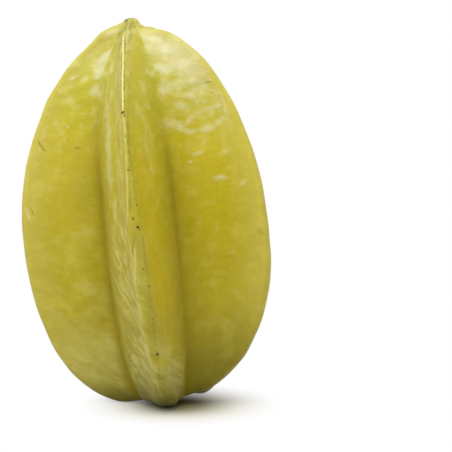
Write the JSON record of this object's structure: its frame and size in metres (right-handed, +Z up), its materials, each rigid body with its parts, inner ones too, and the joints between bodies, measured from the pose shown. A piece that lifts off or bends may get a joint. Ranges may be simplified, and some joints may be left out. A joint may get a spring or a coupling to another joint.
{
  "type": "star fruit",
  "caption": "Whole ripe star fruit standing upright: an oval fruit with tall ribs round its axis, deep valleys between them, a stem recess below and a blunt button on top.",
  "frame": {"origin": "on the resting surface, under the middle of the fruit's bounding box", "axes": "+Z up, along the height of the standing fruit, which is its longest extent; -Y is the side that the front rib faces; the fruit's own axis leans 5.7 degrees from +Z towards -X"},
  "size_m": [0.0732, 0.0722, 0.114],
  "materials": {
    "skin": "satin"
  },
  "bodies": {
    "root": {"fruit": "skin"}
  },
  "joints": []
}
